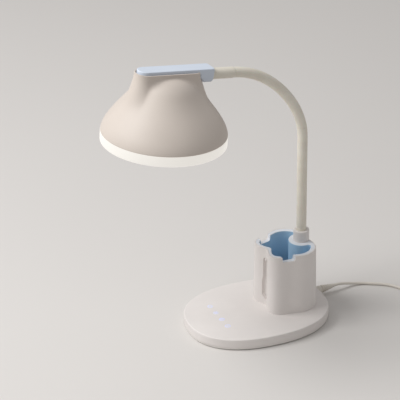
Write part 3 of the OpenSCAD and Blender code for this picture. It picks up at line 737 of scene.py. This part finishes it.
recess_depth = 3.4
front_y = 13
behind_y = 22
rib_t = 3
rib_half = 6.168
rib_high = 78.3
recess_half = [*arc_points(0, 21, 1, 270, 320, 3), *arc_points(0.7, 28, 5, -40, 0), (5.7, 45), (4.6, 50),
               *arc_points(1.4, 72.8, 3.2, 0, 90)]
recess = recess_half + [(-x, z) for x, z in reversed(recess_half)]


def front_cutter(outline, depth, narrowing=1):
    """Cuts an (x, z) outline into the cup's front to an even depth; it gets narrower as it goes in."""
    depths = ((behind_y, narrowing), (front_y, 1), (0, 1))
    rings = [[(x * scale, y, z) for x, z in outline] for y, scale in depths]
    return cut(skin("cutter", rings), cup_body([(depth, z) for z in (8, 50, 94)]))


def rib_cutter(grown_by):
    """Where the shell is thicker, behind the recess."""
    half, high = rib_half + grown_by, rib_high + grown_by
    return front_cutter([(half, 10), (half, high), (-half, high), (-half, 10)], shell_wall + rib_t + grown_by)


cup_edge_r = 0.9
rim_edge = rounded_edge(cup_edge_r, cup_top, range(0, 91, 15))
cup_shell = cup_body([(0, z) for z in (cup_foot, 24, 34, 44, 54, 64, 74, 82)] + rim_edge)
cup_shell.name = "organizer_outer_shell"
cut(cup_shell, front_cutter(recess, recess_depth, narrowing=0.8))
soften(cup_shell, 0.45, segments=4)
cavity = solid(cup_outline(shell_wall, 0), cup_foot + 2.4, cup_top + 2)
cut(cavity, rib_cutter(0))
cut(cup_shell, cavity, pole_cutter(), *notch_cutters())
dress(smooth_walls(soften(cup_shell, 0.22, segments=2, angle=50)), white_abs)
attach(cup_shell, "base")
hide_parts("organizer_shell")

# A small round button closes the recess at its top
recess_button = lathe("recess_button", [(0, 1.9), (2, 1.9), (2.3, 1.8), (2.5, 1.55), (2.6, 1.1)],
                      (-1, 17.6, 73.4), (0, -1, 0), steps=48)
dress(recess_button, white_abs)
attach(recess_button, "base")

# ---------------------------------------------------------------- organizer liner
# The blue liner drops into the shell and closes it: a broad flange inside the white rim, painted pale as
# painted light falling on its top, a deep pocket with a rolled mouth, and a swelling that goes round the
# pole.

liner_floor = 23.8
liner_top = cup_top - 0.12
bulge_r = 14.7
mouth_round = 2.5


def mouth_outline():
    """The drawn-in outline less a round swelling about the pole, with both narrow ends rounded."""
    edge = [Vector(p[:2]) for p in cup_outline(rim_w, 0, 360)]
    pole = Vector((0, pole_y))
    turn = -90
    while True:
        middle = pole + (bulge_r + mouth_round) * Vector((cos(radians(turn)), sin(radians(turn))))
        near = min(range(180, 360), key=lambda i: (edge[i] - middle).length)
        if (edge[near] - middle).length <= mouth_round:
            break
        turn += 0.25
    half = arc_points(0, pole_y, bulge_r, -90, turn, steps=int((turn + 90) / 4))
    end = degrees(atan2(edge[near].y - middle.y, edge[near].x - middle.x))
    half += arc_points(middle.x, middle.y, mouth_round, turn + 180, end, steps=14)[1:]
    half += [(edge[i].x, edge[i].y) for i in range(near - 1, 180, -1)]
    return half + [(0, edge[180].y)] + [(-x, y) for x, y in reversed(half[1:])]


def widened(outline, by):
    """A closed outline moved outwards."""
    ring = []
    for i, (x, y) in enumerate(outline):
        ahead = Vector(outline[(i + 1) % len(outline)]) - Vector(outline[i - 1])
        ahead.normalize()
        ring.append((x - by * ahead.y, y + by * ahead.x))
    return ring


roll = 1.3
mouth = mouth_outline()
pocket_levels = [(-1.4, liner_floor), (-0.5, liner_floor + 0.4), (0, liner_floor + 1.4),
                 (0, liner_top - roll)]
pocket_levels += rounded_edge(roll, liner_top, range(15, 91, 15))
pocket_levels += [(roll, cup_top + 3)]
pocket = skin("cutter", [[(x, y, z) for x, y in widened(mouth, by)] for by, z in pocket_levels])
liner = skin("organizer_blue_liner", [cup_outline(shell_wall + 0.06, z) for z in (22.2, 50, liner_top)])
cut(liner, pocket, rib_cutter(0.06), pole_cutter(), *notch_cutters())
smooth_walls(soften(liner, 0.22, segments=2, angle=50))

# One blue ABS moulding: the pocket keeps the blue, and the flange round it is painted pale bluish white as
# painted light on its top
painted_light_flange_abs = moulded_plastic("abs_blue_flange_painted_light", "#e6eaf0", "#e0e5ec", roughness=0.5)
blue_pocket_abs = moulded_plastic("abs_moulded_blue_pocket", "#b9d8ee", "#b2d3eb", roughness=0.5)
dress(liner, painted_light_flange_abs)
liner.data.materials.append(blue_pocket_abs)
# Faces inside the pocket take the blue; all the others, the flange on top among them, take the painted light
for face in liner.data.polygons:
    middle = face.center / MM
    beside = min(hypot(middle.x - x, middle.y - y) for x, y in mouth)
    inside = beside < 0.8 or middle.z < liner_floor + 1
    face.material_index = int(inside and middle.z < liner_top - 0.4 * roll)
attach(liner, "base")
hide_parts("organizer_liner")

# ---------------------------------------------------------------- pole
# A steel tube stands in the base. A white ABS collar covers it behind the cup, and above that the same
# cream silicone sleeve that covers the flexible neck.

collar_top = 101.8
collar_profile = [(14.1, collar_r - 0.3), (14.3, collar_r - 0.05), (14.6, collar_r), (60, collar_r),
                  (collar_top - 1.1, collar_r), (collar_top - 0.6, collar_r - 0.1),
                  (collar_top - 0.2, collar_r - 0.35), (collar_top, collar_r - 0.75),
                  (collar_top, 6.1), (collar_top - 0.15, 5.92), (collar_top - 0.8, 5.86)]
collar = lathe("pole_collar_cap", collar_profile, (0, pole_y, 0), upwards, steps=96)
dress(collar, white_abs)
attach(collar, "base")
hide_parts("pole_collar")
dress("pole_tube", drawn_metal("drawn_steel_tube", "#9a9da1", 0.34))

neck_r = 5.8
neck_base = Vector((0, pole_y, 219.8))
link_bend = (18.5, 12.5, 11, 10, 13.5, 14.8)
link_len = 23.65
pole_end = -12
parting = 13.2


def neck_at(s):
    """Place and heading of the neck's middle line, s millimetres past its first joint."""
    if s <= 0:
        return neck_base + Vector((0, 0, s)), 0
    place, heading = neck_base.copy(), 0
    for bend in link_bend:
        share = min(1, s / link_len)
        r = link_len / radians(bend)
        a, b = radians(heading), radians(heading + bend * share)
        place = place + r * Vector((0, cos(b) - cos(a), sin(b) - sin(a)))
        heading += bend * share
        s -= link_len
        if s <= 0:
            return place, heading
    ahead = radians(heading)
    return place + s * Vector((0, -sin(ahead), cos(ahead))), heading


def sleeve(name, start, end, step=1.4, sides=40):
    """A stretch of the silicone sleeve, with a fine parting ring where the stiff pole ends."""
    count = max(2, ceil((end - start) / step))
    stations = [start + (end - start) * i / count for i in range(count + 1)]
    if start < parting < end:
        stations = sorted([s for s in stations if abs(s - parting) > 0.9]
                          + [parting + d for d in (-0.7, -0.3, -0.12, 0.12, 0.3, 0.7)])
    rings = []
    for s in stations:
        place, heading = neck_at(s)
        r = neck_r - (0.28 if abs(s - parting) < 0.2 else 0)
        h = radians(heading)
        up = Vector((0, cos(h), sin(h)))
        rings.append([place + r * (cos(a) * Vector((1, 0, 0)) + sin(a) * up) for a in round_steps(sides)])
    return skin(name, rings, sharp=60)


# Cream silicone: dull and slightly waxy, with a soft sheen and faint dust in it
neck_silicone = moulded_plastic("silicone_sleeve_cream", "#e8e3d7", "#e1dbcd", roughness=0.56, grain=0.5,
                                depth=0.01, cloud=14,
                                shader={"Subsurface Weight": 0.04, "Subsurface Scale": 1.5 * MM})
pole_sleeve = sleeve("pole_sleeve_straight", 90 - neck_base.z, pole_end, step=6)
dress(pole_sleeve, neck_silicone)
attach(pole_sleeve, "base")
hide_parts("pole_sleeve")

# ---------------------------------------------------------------- flexible neck
# A steel gooseneck under one long sleeve bends wherever it is pushed and stays there. Each stretch of the
# sleeve here runs from the middle of one link to the middle of the next, across the joint between.

bend_half = 8
first_bend = 11
last_bend = 1.2
for k in range(7):
    start = pole_end if k == 0 else (k - 0.5) * link_len
    end = 6 * link_len + 3 if k == 6 else (k + 0.5) * link_len
    stretch = dress(sleeve(f"neck_sleeve_{k + 1}", start, end), neck_silicone)
    before = neck_at(k * link_len - (bend_half if k else first_bend))[0]
    after = neck_at(k * link_len + (last_bend if k == 6 else bend_half))[0]
    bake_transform(stretch)
    if k:
        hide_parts(f"neck_link_{k}")

# ---------------------------------------------------------------- ferrule and spine
# The neck ends in a smooth ferrule that plugs into the end block of the spine. The spine is a powder-blue
# ABS strip, rounded at its front, which lies in the top of the shade and turns down behind it.

head_joint, head_heading = neck_at(6 * link_len)
neck_to_top = 81.7
arm_drop = 5.65
spine_end = 52.7
spine_rise = 3
in_spine = (Matrix.Translation(head_joint) @ Matrix.Rotation(radians(head_heading - 90), 4, "X")
            @ Matrix.Translation((0, -neck_to_top, arm_drop)))
ferrule_len = neck_to_top - spine_end
head_ahead = Vector((0, -sin(radians(head_heading)), cos(radians(head_heading))))
ferrule_profile = [(1.3, 5.2), (1.3, 5.85), (1.5, 6.08), (1.9, 6.18), (2.6, 6.2), (ferrule_len - 1, 6.2),
                   (ferrule_len - 0.1, 6.2), (ferrule_len + 3, 6.2)]
ferrule = lathe("neck_end_ferrule", ferrule_profile, head_joint, head_ahead)
ferrule_abs = moulded_plastic("abs_moulded_cream", "#e8e3d7", "#e1dbcd", roughness=0.45)
dress(ferrule, ferrule_abs)
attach(ferrule, "head")
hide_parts("neck_ferrule")

spine_half_w = 9
spine_front = -36
spine_corner = 3
strip_outline = arc_points(0, spine_front + spine_half_w, spine_half_w, 180, 360, 30)
strip_outline += arc_points(spine_half_w - spine_corner, spine_end - spine_corner, spine_corner, 0, 90)
strip_outline += arc_points(spine_corner - spine_half_w, spine_end - spine_corner, spine_corner, 90, 180)


def strip_ring(inset, z):
    """The strip's outline drawn in towards its own middle line."""
    ring = []
    for x, y in strip_outline:
        near = min(max(y, spine_front + spine_half_w), spine_end - spine_half_w)
        away = Vector((x, y - near))
        away = away * (1 - inset / max(away.length, 0.001))
        ring.append(in_spine @ Vector((away.x, near + away.y, z)))
    return ring


strip_edge_r = 0.9
strip_levels = [(0.3, -2.5), (0, -2.3), (0, 0), (0, spine_rise - strip_edge_r)]
strip_levels += rounded_edge(strip_edge_r, spine_rise, range(18, 91, 18))
strip_levels += [(2, spine_rise), (4, spine_rise)]
spine_strip = skin("spine_strip", [strip_ring(*level) for level in strip_levels])

block_front = 35


def block_ring(inset, back, z):
    """One level of the end block under the strip: its front face leans back as it goes down."""
    front = block_front + back
    half_l = (spine_end - front) / 2
    corner = max(2.2 - 0.4 * inset, 1)
    return [in_spine @ Vector((x, y + front + half_l, z))
            for x, y in rounded_rectangle(spine_half_w - inset, half_l - inset, corner, steps=8)]


block_levels = [(0.02, 0, 1), (0.02, 0, -3), (0.05, 0.1, -6), (0.2, 1.8, -8), (0.4, 3.2, -9.6),
                (0.8, 3.7, -10.8), (1.4, 3.9, -11.7), (2.2, 4, -12.25), (3.2, 4, -12.48)]
spine_block = skin("spine_end_block", [block_ring(*level) for level in block_levels])
blue_abs = moulded_plastic("abs_moulded_powder_blue", "#d6dfec", "#d1dbe9", roughness=0.42)
for piece in (spine_strip, spine_block):
    dress(piece, blue_abs)
    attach(piece, "head")
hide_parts("head_spine")

# ---------------------------------------------------------------- shade
# The shade is one ABS moulding in warm greyish white. It draws in from the wide rim to a waist, a dome
# closes it, and a narrow flat top with a thin raised lip stands through the dome and holds the strip.

shade_h = 80.3
lens_r = 68.5
lens_h = 11.6
rim_r = 68.5
waist_r = 41.3
bell_start = 9
bell_len = 54
dome_start = 30
dome_top = 77
dome_power = 2.4
top_half_l = 38.5
top_half_w = 12
top_flare = 5
flare_len = 30
top_tilt = 4.4
tilt_start = 30
dome_round = 9
shade_wall = 2.2
shade_roof = 1.6
in_head = in_spine @ Matrix.Rotation(radians(top_tilt), 4, "X") @ Matrix.Translation((0, 0, -shade_h))


def stadium_radius(a, half_l=top_half_l, half_w=top_half_w):
    """Distance from the middle to the edge of the narrow top, in the direction a from the arm."""
    c, s = abs(cos(a)), abs(sin(a))
    side = half_w / max(s, 0.001)
    straight = half_l - half_w
    if side * c <= straight:
        return side
    return straight * c + sqrt(max(0, half_w ** 2 - (straight * s) ** 2))


def shade_radius(a, h):
    """The bell and its dome, joined to the narrow top in a rounded valley."""
    bell = waist_r + (rim_r - waist_r) * (1 - smooth((h - bell_start) / bell_len))
    up = min(1, max(0, (h - dome_start) / (dome_top - dome_start)))
    dome = bell * (1 - up ** dome_power) ** (1 / dome_power)
    top = stadium_radius(a) + top_flare * smooth((shade_h - h) / flare_len)
    return (dome ** dome_round + top ** dome_round) ** (1 / dome_round)


# A ring's points stand closer together at the two ends of the narrow top
shade_steps = 224
end_crowding = 0.27
shade_angles = [a - end_crowding * sin(2 * a) for a in round_steps(shade_steps)]


def shade_point(a, r, h):
    """A place on the shade; it dips towards the top so that the narrow top lies along the strip."""
    y = r * cos(a)
    dip = tan(radians(top_tilt)) * y * smooth((h - tilt_start) / (shade_h - tilt_start))
    return in_head @ Vector((-r * sin(a), y, h - dip))


def shade_level(h, inset=0):
    """The outer ring at a height above the lens's floor."""
    return [shade_point(a, shade_radius(a, h) - inset, h) for a in shade_angles]


def lip_level(inset, drop):
    """A ring inside the narrow top, drawn in evenly and dropped below the top's edge."""
    down = in_spine.to_3x3() @ Vector((0, 0, -drop))
    return [shade_point(a, stadium_radius(a, top_half_l - inset, top_half_w - inset), shade_h) + down
            for a in shade_angles]


inner_levels = [75.5, 74, 72, 69, 65, 60, 54, 47, 40, 33, 26, 20, 15]
outer_levels = [lens_h + 0.6, 12.8, 13.6, 15, 17, 19.5, *range(22, 59, 3), 60.5, 63, 65, 67, 69, 70.5, 72,
                73, 74, 74.8, 75.5, 76.1, 76.6, 77, 77.5, 78.2, 79, 79.6, 80]
shade_rings = [[shade_point(a, max(3, shade_radius(a, min(h + shade_roof, shade_h)) - shade_wall), h)
                for a in shade_angles] for h in inner_levels]
shade_rings += [shade_level(lens_h + rise, inset) for rise, inset in ((0.06, 2.2), (0.06, 0.35), (0.3, 0.06))]
shade_rings += [shade_level(h) for h in outer_levels]
shade_rings += [lip_level(inset, drop) for inset, drop in (
    (0.02, 0.25), (0.12, 0.08), (0.35, 0), (1.05, 0), (1.3, 0.08), (1.42, 0.3), (1.5, 2.5))]
shade = skin("shade_bell", shade_rings)
block_notch = [(block_front - 0.15, 30), (block_front - 0.15, -6), (block_front + 1.6, -8.1),
               (block_front + 3, -9.8), (block_front + 3.6, -12.6), (75, -12.6), (75, 30)]
notch_rings = [[in_spine @ Vector((x, y, z)) for y, z in block_notch]
               for x in (-spine_half_w - 0.15, spine_half_w + 0.15)]
cut(shade, skin("cutter", notch_rings))
shade.data.shade_smooth()
shade.data.set_sharp_from_angle(angle=radians(50))
shade_abs = moulded_plastic("abs_moulded_warm_grey", "#d4cac1", "#cfc5bc", roughness=0.55, depth=0.014)
dress(shade, shade_abs)
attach(shade, "head")
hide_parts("shade")

# ---------------------------------------------------------------- diffuser
# The opal acrylic diffuser is a shallow pan pushed over the rim of the shade: its wall shows as a white
# glowing band, and its closed floor spreads the light of the LEDs above it.

head_up = in_head.to_3x3() @ Vector((0, 0, 1))
corner_r = 1.6
pan_profile = [(0.85, 0.5), (0.85, 40), (0.8, lens_r - 4.2), (0.6, lens_r - 3.4), (0.2, lens_r - 2.6)]
pan_profile += rounded_edge(corner_r, lens_r, range(0, 91, 10))
pan_profile += [(6, lens_r), (lens_h - 0.4, lens_r), (lens_h - 0.12, lens_r - 0.1), (lens_h, lens_r - 0.4),
                (lens_h, lens_r - 1.9), (lens_h - 0.2, lens_r - 2), (3.2, lens_r - 2), (2.6, lens_r - 2.6),
                (2.6, 0.5)]
diffuser = lathe("opal_diffuser_pan", pan_profile, in_head.translation, head_up, steps=160)

# Opal acrylic lit from behind: white, smooth, even, and brighter than what stands round it
opal_acrylic = moulded_plastic("acrylic_opal_lit", "#a5a4a1", "#a1a09d", roughness=0.35, grain=1, depth=0.004,
                               shader={"Emission Color": linear("#fffaf2"), "Emission Strength": 0.58})
dress(diffuser, opal_acrylic)
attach(diffuser, "head")
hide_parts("diffuser")
dress("led_plate", drawn_metal("aluminium_sheet_mill_finish", "#c2c5c8", 0.4))

# ---------------------------------------------------------------- floor and light
# A plain pale floor and soft studio light: a large soft lamp from the upper left of the picture and towards
# us, a weak one from the upper right and a little behind, and an even pale surrounding.

floor_half = 6 / MM
floor = make_piece("floor", [(floor_half * x, floor_half * y, 0) for x, y in square], [(0, 1, 2, 3)])
dress(floor, moulded_plastic("studio_floor", "#d8d5d2", "#d6d3d0", roughness=0.85, grain=2, depth=0.001,
                             cloud=900))


def soft_lamp(name, way, distance, size, watts):
    """A square area lamp that faces the desk lamp. Its way is right, up and towards us in the picture."""
    target = Vector((0, -0.02, 0.16))
    away = (way[0] * camera_right + way[1] * camera_up + way[2] * camera_back).normalized()
    data = bpy.data.lights.new(name, "AREA")
    data.size = size
    data.energy = watts
    facing = away.to_track_quat("Z", "Y").to_matrix().to_4x4()
    add_object(name, data).matrix_world = Matrix.Translation(target + distance * away) @ facing


soft_lamp("key_light", (-0.7, 0.66, 0.5), 2.2, 1.2, 42)
soft_lamp("fill_light", (0.9, 0.9, -0.2), 2.6, 1.8, 4)

world = bpy.data.worlds.new("studio")
world.use_nodes = True
bpy.context.scene.world = world
surrounding = world.node_tree.nodes["Background"].inputs
surrounding["Color"].default_value = linear("#f4f2f1")
surrounding["Strength"].default_value = 0.42
bpy.context.scene.view_settings.view_transform = "Standard"
